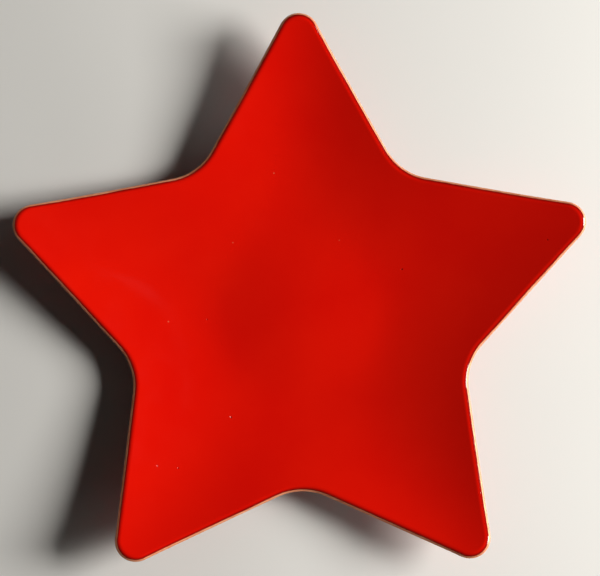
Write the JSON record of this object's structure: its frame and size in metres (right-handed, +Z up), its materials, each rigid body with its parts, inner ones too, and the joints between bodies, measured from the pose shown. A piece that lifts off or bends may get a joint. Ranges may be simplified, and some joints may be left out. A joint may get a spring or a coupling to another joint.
{
  "type": "star dish",
  "caption": "Shallow star-shaped serving dish in glossy glazed earthenware, with rounded points, a low foot ring and a thin gilt lip.",
  "frame": {"origin": "centre of the foot ring on the plane that the dish stands on", "axes": "+Z up through the middle of the dish, +Y towards one point of the star, +X to its right seen from above"},
  "size_m": [0.2768, 0.2642, 0.0304],
  "materials": {
    "clay": "bare fired earthenware",
    "red_glaze": "gloss",
    "gilding": "fired gold lustre"
  },
  "bodies": {
    "root": {"clay_body": "clay", "inner_glaze": "red_glaze", "outer_glaze": "red_glaze", "base_glaze": "red_glaze", "gilt_rim": "gilding"}
  },
  "joints": []
}
